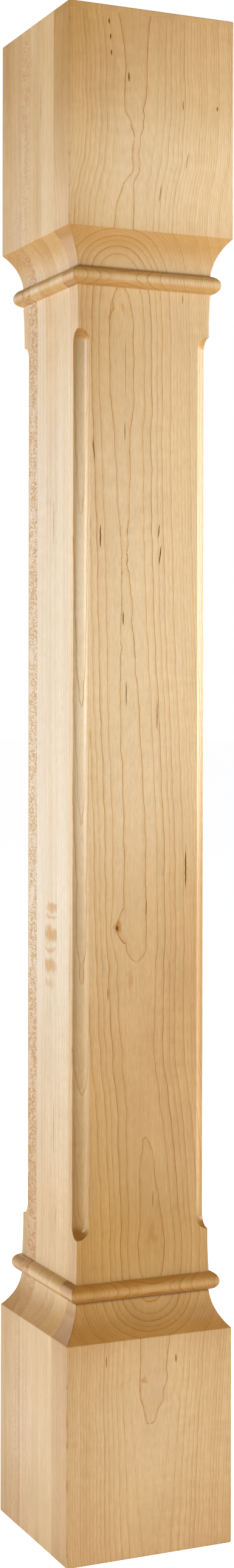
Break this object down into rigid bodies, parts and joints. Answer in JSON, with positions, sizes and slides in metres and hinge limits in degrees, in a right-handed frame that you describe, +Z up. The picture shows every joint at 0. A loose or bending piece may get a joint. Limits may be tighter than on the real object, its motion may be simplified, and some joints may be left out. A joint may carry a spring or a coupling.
{
  "type": "fluted cabinet post",
  "caption": "Square maple post glued up from full-height boards, with plain blocks, coves and beads at both ends and a shaft with stopped flutes on its corners.",
  "frame": {"origin": "centre of the underside", "axes": "+Z up along the post, -Y out of the front face, +X to the right seen from the front"},
  "size_m": [0.127, 0.127, 1.0795],
  "materials": {
    "front_maple": "satin",
    "second_maple": "satin",
    "third_maple": "satin",
    "fourth_maple": "satin",
    "fifth_maple": "satin",
    "back_maple": "satin"
  },
  "bodies": {
    "root": {"front_board": "front_maple", "second_board": "second_maple", "third_board": "third_maple", "fourth_board": "fourth_maple", "fifth_board": "fifth_maple", "back_board": "back_maple"}
  },
  "joints": []
}
